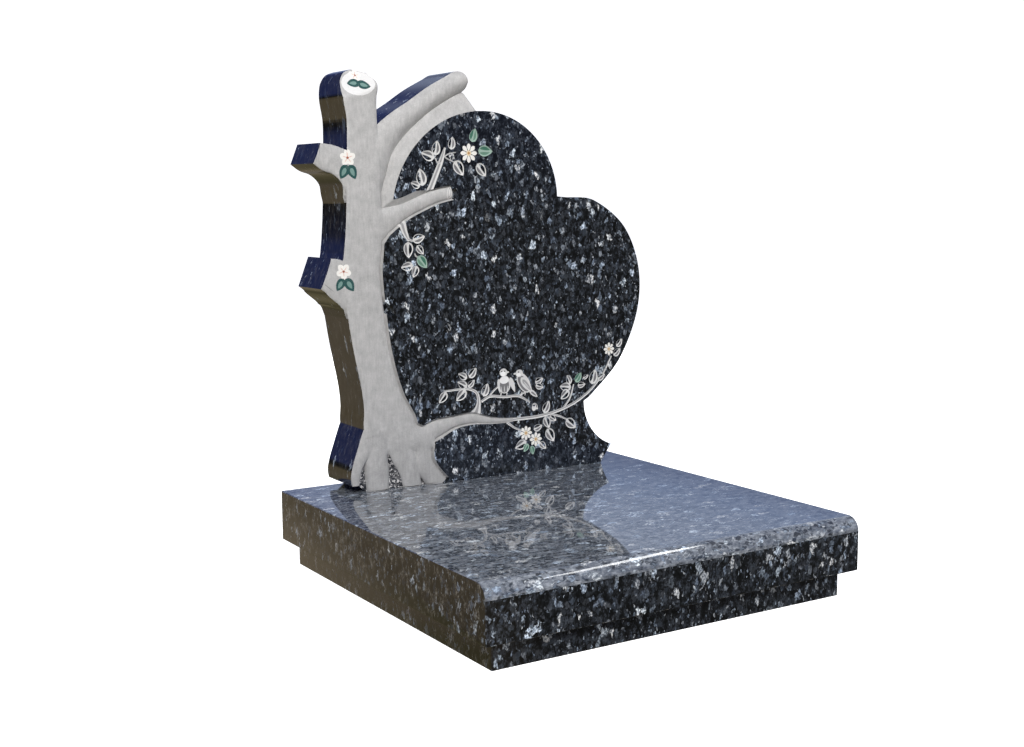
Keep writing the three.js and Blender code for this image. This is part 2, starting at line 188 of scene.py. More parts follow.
def polishedGranite(name):
    # the place is stirred by noise before the crystals are picked, and each size lies over the last
    material, tree = newMaterial(name)
    look = looks[name]
    own = node(tree, "ShaderNodeTexCoord").outputs["Object"]
    drawn = 1 / (look["size"] * np.array(look["long"]))
    place = node(tree, "ShaderNodeMapping", {"Vector": own, "Scale": drawn}).outputs[0]
    stir = noise(tree, place, granite["warpScale"], 3.0)["Color"]
    centred = vectorMath(tree, "SUBTRACT", {0: stir, 1: (0.5, 0.5, 0.5)})
    pushed = vectorMath(tree, "SCALE", {0: centred, "Scale": granite["warp"]})
    warped = vectorMath(tree, "ADD", {0: place, 1: pushed})
    grain = noise(tree, place, granite["grainScale"], 4.0, 0.6)[0]
    cloud = noise(tree, place, granite["cloudScale"], 5.0, 0.65)[0]
    colour = ramp(tree, weighed(tree, (cloud, grain), granite["shares"]), look["ground"])
    for scale, share, low, high in granite["sizes"]:
        mask, shade = crystals(tree, warped, grain, scale, share * look["flecks"], low, high)
        colour = blendColour(tree, mask, colour, shade)
    rough = ramp(tree, cloud, [(0.3, look["rough"]), (0.7, look["rough"] + granite["roughSpread"])])
    bump = bumped(tree, cloud, look.get("bump", granite["bump"]), granite["bumpDepth"])
    finishMaterial(tree, {"Base Color": colour, "Roughness": rough, "IOR": granite["ior"], "Normal": bump,
                          "Coat Weight": look.get("coat", granite["coat"])})
    return material


# Carved stone: sanded pale grey, mottled, with fine upright tooling, and painted shade that darkens it near the
# ground.
# Painted faces carry their colour in the paint attribute, and its alpha is how much of it covers the stone.
# The painted foot shade is height in metres and the share of the stone's colour that is left there.

carving = {"pale": (0.57, 0.563, 0.55), "mid": (0.47, 0.465, 0.455), "deep": (0.37, 0.367, 0.36), "rough": 0.78,
           "tooling": (360, 360, 60), "mottleScale": 60.0, "sandScale": 700.0, "toneShares": (0.25, 0.45, 0.3),
           "worn": [(0.25, 0.8), (0.5, 1.0)], "reliefShares": (0.4, 0.6), "bump": 0.3, "bumpDepth": 0.0006,
           "paintedFootShade": [(0.12, 0.75), (0.2, 0.88), (0.3, 0.93), (0.5, 0.94), (0.6, 0.99), (0.7, 1.0)]}


def carvedStone():
    material, tree = newMaterial("carved_stone")
    place = node(tree, "ShaderNodeTexCoord").outputs["Object"]
    upright = node(tree, "ShaderNodeMapping", {"Vector": place, "Scale": carving["tooling"]}).outputs[0]
    tooling = noise(tree, upright, 1.0, 3.0)[0]
    mottle = noise(tree, place, carving["mottleScale"], 6.0, 0.65)[0]
    sand = noise(tree, place, carving["sandScale"], 3.0)[0]
    tone = weighed(tree, (tooling, mottle, sand), carving["toneShares"])
    sanded = ramp(tree, tone, [(0.36, carving["deep"]), (0.5, carving["mid"]), (0.63, carving["pale"])])
    height = node(tree, "ShaderNodeSeparateXYZ", {0: place}).outputs["Z"]
    # painted shade: the carving gets darker towards the ground
    sanded = blendColour(tree, 1.0, sanded, ramp(tree, height, carving["paintedFootShade"]), "MULTIPLY")
    paint = node(tree, "ShaderNodeAttribute", attribute_name="paint")
    worn = sums(tree, "MULTIPLY", paint.outputs["Alpha"], ramp(tree, sand, carving["worn"]))
    colour = blendColour(tree, worn, sanded, paint.outputs["Color"])
    relief = weighed(tree, (tooling, sand), carving["reliefShares"])
    bump = bumped(tree, relief, carving["bump"], carving["bumpDepth"])
    finishMaterial(tree, {"Base Color": colour, "Roughness": carving["rough"], "Normal": bump})
    return material


# Pecked ground between the roots: coarse pale and dark grains

pecking = {"scale": 430.0, "rough": 0.6, "bump": 0.9, "bumpDepth": 0.0015, "grains": [
    (0.3, (0.03, 0.032, 0.036)), (0.55, (0.13, 0.13, 0.135)), (0.85, (0.6, 0.59, 0.58))]}


def peckedStone():
    material, tree = newMaterial("pecked_stone")
    place = node(tree, "ShaderNodeTexCoord").outputs["Object"]
    grains = node(tree, "ShaderNodeTexVoronoi", {"Vector": place, "Scale": pecking["scale"]})
    pick = node(tree, "ShaderNodeSeparateColor", {"Color": grains.outputs["Color"]}).outputs[0]
    bump = bumped(tree, grains.outputs["Distance"], pecking["bump"], pecking["bumpDepth"])
    finishMaterial(tree, {"Base Color": ramp(tree, pick, pecking["grains"]), "Roughness": pecking["rough"],
                          "Normal": bump})
    return material


finishes = [polishedGranite("polished_face"), carvedStone(), peckedStone(),
            polishedGranite("polished_side_painted_reflection"), polishedGranite("polished_top_painted_light"), polishedGranite("polished_wall")]
polished, carved, pecked, sideGrainPaintedReflection, topGrainPaintedLight, wallGrain = range(6)
print("materials made:", ", ".join(m.name for m in finishes))


# Meshes

def meshPiece(name, points, faces, standsFor, finish=None):
    # points in millimetres in the row frame; faces are triangles or quads, wound outwards
    mesh = bpy.data.meshes.new(name)
    mesh.from_pydata((np.asarray(points) / 1000).tolist(), [], faces)
    for material in finishes:
        mesh.materials.append(material)
    if finish is not None:
        mesh.polygons.foreach_set("material_index", np.asarray(finish, np.int32))
    mesh.polygons.foreach_set("use_smooth", np.ones(len(mesh.polygons), bool))
    mesh.update()
    piece = bpy.data.objects.new(name, mesh)
    scene.collection.objects.link(piece)
    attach(piece, "root")
    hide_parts(standsFor)
    return piece


def creaseMesh(mesh, degrees):
    # sharp where faces meet at a wide angle, and along every border between two finishes
    mesh.set_sharp_from_angle(angle=np.radians(degrees))
    edgeOf = np.empty(len(mesh.loops), np.int32)
    mesh.loops.foreach_get("edge_index", edgeOf)
    finish = np.empty(len(mesh.polygons), np.int32)
    mesh.polygons.foreach_get("material_index", finish)
    sizes = np.empty(len(mesh.polygons), np.int32)
    mesh.polygons.foreach_get("loop_total", sizes)
    ofLoop = np.repeat(finish, sizes)
    low, high = np.full(len(mesh.edges), 99), np.full(len(mesh.edges), -1)
    np.minimum.at(low, edgeOf, ofLoop)
    np.maximum.at(high, edgeOf, ofLoop)
    sharp = np.empty(len(mesh.edges), bool)
    mesh.attributes["sharp_edge"].data.foreach_get("value", sharp)
    mesh.attributes["sharp_edge"].data.foreach_set("value", sharp | (low != high))
    mesh.update()


# Base: slab and plinth

base = {
    "side": 610, "slab": (38.3, 114.3), "nose": 20, "slabArris": 1.2,
    "plinth": (0, 38), "plinthInset": 19, "plinthArris": 1.5, "crease": 30,
}


def barRing(low, high, radii, inset):
    # a rounded rectangle in (y, z), corner by corner from the lower front, every side moved in by inset
    corners = [(low[0], low[1], 180), (high[0], low[1], 270), (high[0], high[1], 0), (low[0], high[1], 90)]
    ring = []
    for (y, z, start), radius in zip(corners, radii):
        turns = np.radians(start + np.linspace(0, 90, 21 if radius > 5 else 5))
        r = radius - inset
        cy = y + (radius if y == low[0] else -radius)
        cz = z + (radius if z == low[1] else -radius)
        ring.append(np.stack([cy + r * np.cos(turns), cz + r * np.sin(turns)], axis=1))
    return np.vstack(ring)


def carriedBar(name, standsFor, half, low, high, radii, arris, upper):
    # the ring carried along x; at both ends it shrinks on a quarter circle, so every arris is rounded.
    # upper is the finish over the top and down the last corner of the ring.
    turns = np.radians(np.linspace(0, 90, 5))
    insets = arris * (1 - np.cos(turns))[::-1]
    outs = half - arris + arris * np.sin(turns)
    xs = np.concatenate([-outs[::-1], outs])
    rings = [barRing(low, high, radii, inset) for inset in np.concatenate([insets, insets[::-1]])]
    count = len(rings[0])
    grid = np.stack([np.column_stack([np.full(count, x), ring]) for x, ring in zip(xs, rings)])
    i, k = np.meshgrid(np.arange(len(xs) - 1), np.arange(count), indexing="ij")
    nextK = (k + 1) % count
    quads = np.stack([i * count + k, i * count + nextK, (i + 1) * count + nextK, (i + 1) * count + k], axis=-1)
    faces = quads.reshape(-1, 4)[:, ::-1].tolist()
    last = (len(xs) - 1) * count
    faces += [list(range(count)), list(range(last + count - 1, last - 1, -1))]
    belowTop = 14   # ring steps up to the back top corner
    finish = np.where(k == count - 1, polished, np.where(k < belowTop, sideGrainPaintedReflection, upper)).ravel()
    finish = np.append(finish, [sideGrainPaintedReflection, sideGrainPaintedReflection])
    piece = meshPiece(name, grid.reshape(-1, 3), faces, standsFor, finish)
    creaseMesh(piece.data, base["crease"])


halfSide = base["side"] / 2
# the slab's top and nose take the top look with its painted light
carriedBar("bullnose_slab", "base_slab", halfSide, (-halfSide, base["slab"][0]), (halfSide, base["slab"][1]),
           (base["slabArris"], base["slabArris"], base["slabArris"], base["nose"]), base["slabArris"], topGrainPaintedLight)
halfPlinth = halfSide - base["plinthInset"]
carriedBar("plinth_course", "plinth", halfPlinth, (-halfPlinth, base["plinth"][0]),
           (halfPlinth, base["plinth"][1]), [base["plinthArris"]] * 4, base["plinthArris"], polished)
print("base made: slab and plinth")


# Headstone: x from the slab's left edge, y up from the ground, heights out of the polished face

stone = {
    "thick": 88, "faceY": 216, "foot": 114.35, "arris": 1.0, "gridStep": 2.2, "softness": 1.1, "crease": 38,
    "topLobe": (316, 556, 137), "leftLobe": (316, 530, 163), "notchAngle": 2,
    "rightLobe": [(506, 222), (526, 236), (580, 289), (616, 368), (618, 443), (587, 511), (526, 554),
                  (475, 559)],
    "waist": (588, 222, 82), "waistAngles": (252, 180), "footRight": (541, 556), "footRise": 21,
    "rootLeft": (106, 88), "rootRise": 16,
    "bandWidth": 34, "bandDepth": 12, "bandEnd": (286, 719), "bandAngles": (94.9, 183), "bandStart": 94,
    "thinEdge": 0.6, "thinCrest": 0.2, "drop": 6, "bow": 0.5, "runTurn": (0.62, 0.2), "reach": 18,
    "pocketDepth": 12, "pocketTop": 172,
    "sawnLip": (97, 710), "sawnDepth": 1, "sawnTurn": 18.7, "sawnSlope": 32, "sawnFrom": 690,
    "treeBelow": 0.4, "behindTree": 18,
}

# Limbs: stations are x, y and half width from the root outwards. Edge depths are left and right of the
# walk, crest is the depth of the middle, and square and bow shape the swell between them. Run is how far the
# cut outside reaches for each millimetre of depth, and near the tip it nears runEnd. Over its first
# millimetres, its sink, a limb rises by its drop out of the one that carries it.
limbs = {
    "trunk": {"edge": (3, 5), "crest": 1, "run": (0.8, 0.35), "square": 4, "sink": 42, "drop": 15, "stations": [
        (142, 170, 40), (147, 200, 45), (141.3, 225, 41.7), (135.5, 250, 34.5), (128, 282, 30.5),
        (118, 327, 29.6), (111.3, 368, 30.2), (102.4, 450, 31.6), (104.9, 474, 31.1), (107.4, 500, 30.8),
        (108.9, 545, 29.3), (108.7, 580, 28.3), (108.8, 632, 26.2),
        (107.8, 678, 25.2), (105.6, 713, 28), (108, 727, 28), (110, 738, 23), (112, 746.5, 11)]},
    "upperBranch": {"edge": (9, 11), "crest": 1, "run": (0.8, 0.8), "square": 2, "bow": 1, "sink": 80,
                    "stations": [
        (110, 500, 15), (117, 555, 20), (126, 600, 24), (138, 636, 24.5), (163, 664, 21), (199, 691.5, 17),
        (230, 712.5, 16.5), (262, 729.8, 16.3), (275, 736.3, 16.6), (283, 740, 13), (287, 741.7, 7)]},
    "middleBranch": {"edge": (6, 6), "crest": 1, "run": (1.7, 0.35), "runEnd": (0.2, 0.35), "square": 2,
                     "sink": 26, "stations": [
        (112, 500, 24), (132, 520, 22), (152, 530, 17), (176, 540, 11.5), (204, 552, 10.5), (232, 563, 10.5),
        (258, 568, 9.5)]},
    "lowerBranch": {"edge": (6, 6), "crest": 1.2, "run": (0.45, 0.35), "square": 2, "sink": 30, "stations": [
        (140, 218, 16), (166, 197, 18), (196, 191, 15), (226, 201, 14.5), (258, 209, 9), (290, 212, 8),
        (321, 206.5, 5), (345, 204, 3.5), (366, 203.5, 2.8)]},
    "upperStub": {"edge": (5, 5), "crest": 2, "square": 2, "sink": 45, "stations": [
        (110, 556, 30), (107, 574, 31), (98, 592, 27.5), (84, 605, 23), (66, 614.8, 20.3), (50, 619.6, 19.8),
        (34.8, 625.6, 16)]},
    "lowerStub": {"edge": (5, 5), "crest": 2, "square": 2, "sink": 45, "stations": [
        (112, 380, 31.5), (107.5, 396.8, 32.5), (99.8, 412.8, 32), (88.7, 425.5, 33), (71.1, 436.2, 29.5),
        (58.5, 444.5, 27.5), (45.2, 449.8, 23.8)]},
    "toeA": {"edge": (12, 4), "crest": 1.5, "square": 2, "sink": 30, "stations": [
        (134, 240, 18), (115, 204, 16), (100.5, 176, 12), (89, 152, 8.6), (85.6, 138, 7.6), (86, 127, 6)]},
    "toeB": {"edge": (12, 12), "crest": 1.5, "square": 2.5, "sink": 30, "stations": [
        (137, 236, 22), (130, 200, 24), (124, 168, 20.5), (125.5, 142, 20.5), (126.5, 112, 18.5)]},
    "toeC": {"edge": (12, 6), "crest": 1.5, "square": 2.5, "sink": 30, "stations": [
        (146, 236, 22), (157, 200, 24), (170.5, 165, 21.5), (178.5, 142, 18), (186, 112, 16.5)]},
    "web": {"edge": (6, 6), "crest": 1.5, "run": (0.35, 0.35), "square": 2, "sink": 10, "stations": [
        (172, 194, 14), (196, 185.5, 17), (214, 181.5, 12), (221.5, 178.3, 7)]},
    "toeD": {"edge": (4, 12), "crest": 1.5, "run": (0.35, 0.5), "square": 2, "sink": 30, "stations": [
        (152, 228, 11), (178, 203, 14), (199.5, 184, 18), (202.5, 166, 15), (203.5, 150, 15.5),
        (212, 135, 14.5), (230, 111, 16)]},
}


def easedStep(value):
    # 0 to 1 with level ends
    t = np.clip(value, 0, 1)
    return t * t * (3 - 2 * t)


def hermite(points, tangentOut, tangentIn, steps):
    # cubic pieces between neighbouring points, from the tangents at their two ends
    t = (np.arange(steps) / steps)[None, :, None]
    a, b = points[:-1, None], points[1:, None]
    line = ((2 * t**3 - 3 * t**2 + 1) * a + (t**3 - 2 * t**2 + t) * tangentOut[:, None]
            + (3 * t**2 - 2 * t**3) * b + (t**3 - t**2) * tangentIn[:, None])
    return np.vstack([line.reshape(-1, points.shape[1]), points[-1:]])


def walk(stations, steps=8):
    # centripetal spline through the stations, and the unit vector to the left of every step
    p = np.array(stations, float)
    p = np.vstack([2 * p[0] - p[1], p, 2 * p[-1] - p[-2]])
    gap = np.linalg.norm(np.diff(p, axis=0), axis=1)[:, None] ** 0.5
    a, b, c, d = p[:-3], p[1:-2], p[2:-1], p[3:]
    ga, gb, gc = gap[:-2], gap[1:-1], gap[2:]
    leave = ((b - a) / ga - (c - a) / (ga + gb) + (c - b) / gb) * gb
    arrive = ((c - b) / gb - (d - b) / (gb + gc) + (d - c) / gc) * gb
    line = hermite(p[1:-1], leave, arrive, steps)
    run = np.gradient(line[:, :2], axis=0)
    run /= np.linalg.norm(run, axis=1)[:, None]
    return line, np.column_stack([-run[:, 1], run[:, 0]])


def evenSpline(points, steps):
    # uniform spline through points, its ends held by doubling the end points
    p = np.array(points, float)
    p = np.vstack([p[:1], p, p[-1:]])
    tangent = (p[2:] - p[:-2]) / 2
    return hermite(p[1:-1], tangent[:-1], tangent[1:], steps)


def arc(x, y, radius, start, end, steps):
    # middle plus radius times cosine and sine, from the start angle to the end angle
    turn = np.radians(np.linspace(start, end, steps))
    return np.column_stack([x + radius * np.cos(turn), y + radius * np.sin(turn)])


def besideWalk(line, left, across):
    # the middle line moved to its left by a distance at every step
    return line[:, :2] + left * np.asarray(across)[:, None]


def limbRing(line, left, growLeft, growRight):
    # up the right edge of a limb and back down its left edge
    return np.vstack([besideWalk(line, left, -(line[:, 2] + growRight)),
                      besideWalk(line, left, line[:, 2] + growLeft)[::-1]])


def fineRing(ring, step=stone["gridStep"]):
    # more points, evenly spread over every side that is longer than a step
    ring = np.asarray(ring, float)
    side = np.roll(ring, -1, axis=0) - ring
    count = np.maximum(1, np.ceil(np.linalg.norm(side, axis=1) / step)).astype(int)
    rows = np.repeat(np.arange(len(ring)), count)
    share = (np.arange(count.sum()) - np.repeat(np.cumsum(count) - count, count)) / count[rows]
    return ring[rows] + share[:, None] * side[rows]


def heartRing():
    # foot, waist, right lobe, top lobe, and back behind the tree
    foot = stone["foot"]
    start = [(stone["rootLeft"][0], foot), (stone["footRight"][0], foot),
             (stone["footRight"][1], foot + stone["footRise"])]
    behind = ([s[:2] for s in limbs["upperBranch"]["stations"][1:-3][::-1]]
              + [s[:2] for s in limbs["trunk"]["stations"][3:9][::-1]]
              + [s[:2] for s in limbs["toeA"]["stations"][2:4]])
    end = [stone["bandEnd"]] + behind + [(stone["rootLeft"][1], foot + stone["rootRise"])]
    return np.vstack([
        start, arc(*stone["waist"], *stone["waistAngles"], 30),
        evenSpline(stone["rightLobe"], 16)[1:],
        arc(*stone["topLobe"], stone["notchAngle"], 90, 50),
        arc(*stone["leftLobe"], 90, stone["bandAngles"][0], 5)[1:], end])


def insetRing(ring, by):
    # every point moved inwards along the mean normal of its two sides
    ahead, behind = np.roll(ring, -1, axis=0) - ring, ring - np.roll(ring, 1, axis=0)
    normal = sum(np.column_stack([-s[:, 1], s[:, 0]]) / np.linalg.norm(s, axis=1)[:, None]
                 for s in (ahead, behind))
    normal /= np.linalg.norm(normal, axis=1)[:, None]
    return ring + by * normal


def wayAlong(line):
    # lengths of the steps, added up from the start
    return np.concatenate([[0], np.cumsum(np.linalg.norm(np.diff(line[:, :2], axis=0), axis=1))])


def limbPlace(line, q):
    # nearest spot on a limb's middle line: signed distance across (left is plus), half width there,
    # way along, and how far past an end
    a, ab = line[:-1, :2], np.diff(line[:, :2], axis=0)
    length = np.linalg.norm(ab, axis=1)
    rel = q[:, None] - a[None]
    t = np.clip((rel * ab).sum(2) / length**2, 0, 1)
    off = rel - t[..., None] * ab
    near = (off**2).sum(2).argmin(1)
    rows = np.arange(len(q))
    t, off, run = t[rows, near], off[rows, near], ab[near] / length[near][:, None]
    cross = run[:, 0] * off[:, 1] - run[:, 1] * off[:, 0]
    atEnd = ((near == 0) & (t == 0)) | ((near == len(a) - 1) & (t == 1))
    across = np.where(atEnd, cross, np.sign(cross) * np.linalg.norm(off, axis=1))
    past = np.where(atEnd, np.abs((off * run).sum(1)), 0)
    half = line[near, 2] + t * (line[near + 1, 2] - line[near, 2])
    along = wayAlong(line)[near] + t * length[near]
    return across, half, along, past


def limbRise(limb, across, half, along):
    # from the edge depth up to the crest, as 1 - |s|^square to the power of its bow
    s = np.clip(across / half, -1, 1)
    depth = np.minimum(np.where(s > 0, *limb["edge"]), stone["thinEdge"] * half)
    crest = np.minimum(limb["crest"], stone["thinCrest"] * half)
    rise = -depth + (depth - crest) * (1 - np.abs(s) ** limb["square"]) ** limb.get("bow", stone["bow"])
    return rise - limb.get("drop", stone["drop"]) * (1 - easedStep(along / limb["sink"]))


def channelFloor(limb, half):
    # the deeper edge, or less where the limb is thin
    return np.minimum(max(limb["edge"]), stone["thinEdge"] * half)


def channelRuns(limb, share):
    # left and right run, turning to their end values past the middle of the limb
    start, end = np.array(limb["run"]), np.array(limb.get("runEnd", limb["run"]))
    turnAt, over = stone["runTurn"]
    return (start + (end - start) * easedStep((share[:, None] - turnAt) / over)).T


def channelRise(limb, across, half, share, past):
    # the floor beside the limb, rising by its run to the polished face
    out = np.hypot(np.maximum(np.abs(across) - half, 0), past)
    run = np.where(across > 0, *channelRuns(limb, share))
    return -channelFloor(limb, half) + out / run


def sawnPlane(q):
    # falls back from the lip along the saw's slope
    turn = np.radians(stone["sawnTurn"])
    past = (q - stone["sawnLip"]) @ np.array([-np.sin(turn), np.cos(turn)])
    return -stone["sawnDepth"] - past * np.tan(np.radians(stone["sawnSlope"]))


# Ornament in the polished face: twigs are grooves, leaves are x, y, angle, length and paint

ornament = {
    "depth": 1.2, "midrib": 0.4, "leafWidth": 0.33, "widest": 0.4, "gapWide": (0.68, 0.56),
    "petals": 8, "petalWidth": 0.225, "blush": 0.29, "eye": 0.14, "core": 0.34,
    "petalFoot": 0.16, "gapEnds": (0.14, 0.86), "gapMiddle": 0.47, "dish": 0.8, "dishWidth": 12,
    "twigs": [
        [(216.5, 566, 6.5), (220.6, 576, 5), (230.6, 598, 4.5), (238.6, 616, 4), (245.6, 636, 1.5)],
        [(238.6, 612, 1.2), (231.6, 614, 1.2), (228.6, 620, 1.0)],
        [(243.6, 622, 1.1), (252.6, 627, 0.9), (265, 629, 0.7)],
        [(245.6, 621, 1.0), (254, 617, 0.9), (261.6, 614, 0.7)],
        [(166.5, 530, 7), (170.6, 520, 6), (174.6, 508, 4.5), (181.6, 495, 2)],
        [(178.6, 499, 2), (184.6, 496, 1.6), (190.6, 495, 1)],
        [(190.6, 476, 1.0), (192.6, 472, 1.2), (197.6, 470, 0.9)],
        [(290, 210, 15), (296, 219, 9.5), (300, 228, 5.5), (301.6, 238, 3.5), (298.6, 252, 2.5),
         (283.6, 260, 2), (239.6, 260, 1.5)],
        [(306.6, 238, 2.2), (322.6, 245, 2.2), (348.6, 242, 2), (376.6, 241, 2), (399, 229, 1.2)],
        [(377.6, 241, 1.6), (384.6, 245, 1.4), (389.6, 246, 0.9)],
        [(320.6, 245, 1.4), (329.6, 254, 1.6), (337.6, 259, 1.2)],
        [(362.6, 203.5, 2.6), (421.6, 205, 2.6), (473.6, 216, 2.4), (510.6, 234, 2.2), (541.6, 262, 1.8),
         (561.6, 294, 1.2)],
        [(464.6, 215, 1.8), (476.6, 229, 1.6), (484.6, 252, 1.1)],
        [(438.6, 206, 1.8), (456.6, 201, 1.6), (471.6, 194, 1.1)],
        [(354.6, 200, 2.2), (368.6, 190, 1.6), (382.6, 184, 1.1)],
    ],
    "leaves": [
        (226.6, 620, 161, 24, ""), (228.6, 624, 81, 23, ""), (256.6, 633, 83, 20, ""),
        (206.6, 578, 102, 27, ""), (201.6, 577, 160, 17, ""), (262.6, 616, -56, 27, ""),
        (302.6, 612, -52, 25, ""), (293.6, 645, 74, 22, "green"), (304.6, 632, -2, 26, "green"),
        (187.6, 496, 15, 22, ""), (179.6, 494, -88, 25, ""), (194.6, 488, -50, 18, ""),
        (196.6, 472, -51, 24, "green"), (187.6, 458, -172, 21, ""), (194.6, 457, -112, 19, ""),
        (243.6, 258, -130, 21, ""), (278.6, 259, -138, 24, ""), (280.6, 263, 150, 20, ""),
        (280.6, 277, 150, 18, ""), (284.6, 278, 48, 20, ""), (282.6, 263, 42, 16, ""),
        (310.6, 246, 68, 22, ""), (408.6, 260, 22, 17, ""), (409.6, 256, -18, 16, ""),
        (403.6, 226, -43, 14, ""), (425.6, 209, 62, 22, ""), (427.6, 203, -67, 22, ""),
        (436.6, 203, -34, 16, ""), (431.6, 182, -58, 26, ""), (469.6, 194, -38, 25, ""),
        (479.6, 247, 172, 23, ""), (478.6, 253, 115, 17, ""), (475.6, 243, -140, 22, ""),
        (488.6, 255, 53, 19, "green"), (503.6, 260, 25, 12, ""), (492.6, 249, 5, 16, ""),
        (521.6, 249, 74, 26, ""), (533.6, 256, 30, 17, ""), (566.6, 294, 40, 18, ""),
        (572.6, 309, 48, 17, ""), (391.6, 165, -157, 24, ""), (394.6, 161, -122, 15, "green"),
        (401.6, 157, -80, 15, "green"), (417.6, 161, -44, 17, ""), (405.6, 183, 19, 18, ""),
    ],
    "daisies": [(287.6, 628, 15), (390.6, 179, 12), (409.6, 167, 12), (556.6, 306, 11)],
    # shape, x, y, angle, length, width and paint, later ones over earlier ones; an oval is placed by its
    # middle, a pointed shape by its foot
    "birds": [
        ("pointed", 339.1, 272, -84, 24, 7, "frost"), ("pointed", 360.6, 273, -70, 27, 8, "frost"),
        ("oval", 350.1, 262, 90, 29, 23, "frost"), ("oval", 350.1, 260.5, 90, 23, 17.5, "shade"),
        ("oval", 349.6, 269, 0, 17, 12, "white"), ("pointed", 350.1, 249.5, 90, 11, 1.6, "frost"),
        ("pointed", 345.1, 250.5, 100, 10, 1.5, "frost"), ("pointed", 355.1, 250.5, 80, 10, 1.5, "frost"),
        ("oval", 348.1, 281.5, 0, 14.5, 13, "frost"), ("oval", 347.6, 279.5, 0, 9, 8, "white"),
        ("oval", 345.2, 283.4, 0, 2.2, 2.2, "bare"), ("oval", 351, 283.4, 0, 2.2, 2.2, "bare"),
        ("pointed", 353.1, 281.5, 0, 6, 3.2, "frost"),
        ("pointed", 344.1, 250, -105, 8, 2.2, "frost"), ("pointed", 354.6, 250, -92, 8, 2.2, "frost"),
        ("pointed", 397.6, 249, -38, 20, 8, "frost"), ("pointed", 400.1, 247, -38, 14, 3, "shade"),
        ("oval", 386.6, 262, -56, 38, 21, "frost"), ("oval", 386.1, 261, -56, 32, 15, "shade"),
        ("pointed", 381.6, 271, -50, 33, 13, "frost"), ("pointed", 384.6, 267.5, -50, 25, 7, "grey"),
        ("pointed", 386.6, 264, -47, 18, 1.4, "frost"), ("pointed", 385.6, 261, -44, 15, 1.2, "frost"),
        ("oval", 378.1, 278, 0, 14, 12.5, "frost"), ("oval", 377.1, 275.8, 0, 8.5, 5.5, "white"),
        ("oval", 377.2, 280, 0, 2.3, 2.3, "bare"), ("pointed", 372.6, 278.4, 188, 6, 3.2, "frost"),
        ("pointed", 383.6, 248, -110, 7, 2, "frost"), ("pointed", 389.6, 247.5, -95, 7, 2, "frost"),
        ("oval", 406.6, 220, 80, 12, 9, "frost"), ("oval", 407.1, 223, 0, 5, 3, "bare"),
    ],
    "sawnFaces": [
        ("oval", 106.1, 727.8, 10, 51, 36, "sawn"),
        ("oval", 253.6, 567.3, 82, 20.5, 9, "pale"), ("oval", 253.4, 567.2, 82, 14.5, 5.2, "grey"),
        ("oval", 253.4, 567.2, 82, 12, 3.6, "pale"),
        ("pointed", 36.5, 641, -97, 27, 0.9, "ring"), ("pointed", 39.6, 640.5, -97, 27.5, 0.9, "ring"),
        ("pointed", 41.2, 435.1, -38, 21, 1.3, "ring"),
    ],
    # x, y, radius and turn, then x, y, angle and length
    "blossoms": [(82.6, 619.3, 12, 20), (72.4, 452.5, 11.5, 55), (104.5, 740, 8.6, 10)],
    "blossomLeaves": [(81.5, 609, -116, 23), (85, 609, -66, 23), (72, 442, -122, 21), (75, 442, -56, 23),
                      (108, 729, 186, 19), (104, 728, -14, 20)],
}
paints = {
    "frost": (0.67, 0.665, 0.65, 0.95), "white": (0.85, 0.845, 0.83, 1.0), "grey": (0.3, 0.3, 0.3, 0.95),
    "shade": (0.15, 0.15, 0.155, 0.95), "mint": (0.31, 0.43, 0.36, 1.0), "leaf": (0.11, 0.22, 0.16, 1.0),
    "green": (0.045, 0.15, 0.1, 1.0), "petal": (0.84, 0.82, 0.77, 1.0), "blush": (0.75, 0.62, 0.42, 1.0),
    "eye": (0.45, 0.24, 0.07, 1.0), "sawn": (0.78, 0.775, 0.76, 0.9),
    "pale": (0.68, 0.67, 0.65, 0.9), "ring": (0.24, 0.24, 0.235, 0.9),
    "ray": (0.72, 0.5, 0.43, 1.0), "seed": (0.3, 0.09, 0.05, 1.0), "bottle": (0.02, 0.075, 0.07, 1.0),
    "sage": (0.17, 0.29, 0.26, 1.0), "none": (0.0, 0.0, 0.0, 0.0),
}
leafPaints = {"": ("frost", "bare", "shade"), "green": ("mint", "green", "leaf")}   # rim, left gap, right gap


def leafHalf(t):
    # round at the foot, widest before the middle, straight to the point
    peak = ornament["widest"]
    return (t / peak) ** (1.5 * peak) * ((1 - t) / (1 - peak)) ** (1.5 * (1 - peak))


def onLine(spot, t, across):
    # a place t of the way along a leaf or petal, so far to its left
    x, y, angle, length = spot[:4]
    c, s = np.cos(np.radians(angle)), np.sin(np.radians(angle))
    return np.column_stack([x + c * length * t - s * across, y + s * length * t + c * across])


def pointedRing(spot, half, steps=12):
    # from the foot along one edge to the tip and back along the other
    t = np.linspace(0, 1, steps)
    across = half * leafHalf(t)
    return np.vstack([onLine(spot, t, -across), onLine(spot, t[-2:0:-1], across[-2:0:-1])])


def ovalRing(x, y, angle, length, width, steps=20):
    # cosine along the oval's line, sine across it
    turn = np.arange(steps) * 2 * np.pi / steps
    return onLine((x, y, angle, length / 2), np.cos(turn), width / 2 * np.sin(turn))


def markRing(shape, x, y, angle, length, width):
    # an oval about its middle, or a pointed shape from its foot
    if shape == "oval":
        return ovalRing(x, y, angle, length, width)
    return pointedRing((x, y, angle, length), width / 2)


# shares of the blossom's radius, then of its leaf's length
blossom = {"petals": 5, "out": 0.55, "wide": 0.82, "rayFrom": 0.1, "rayLong": 0.6, "rayWide": 0.11, "seed": 0.3,
           "leafWide": 0.66, "paleFrom": 0.22, "paleLong": 0.58, "paleWide": 0.28}


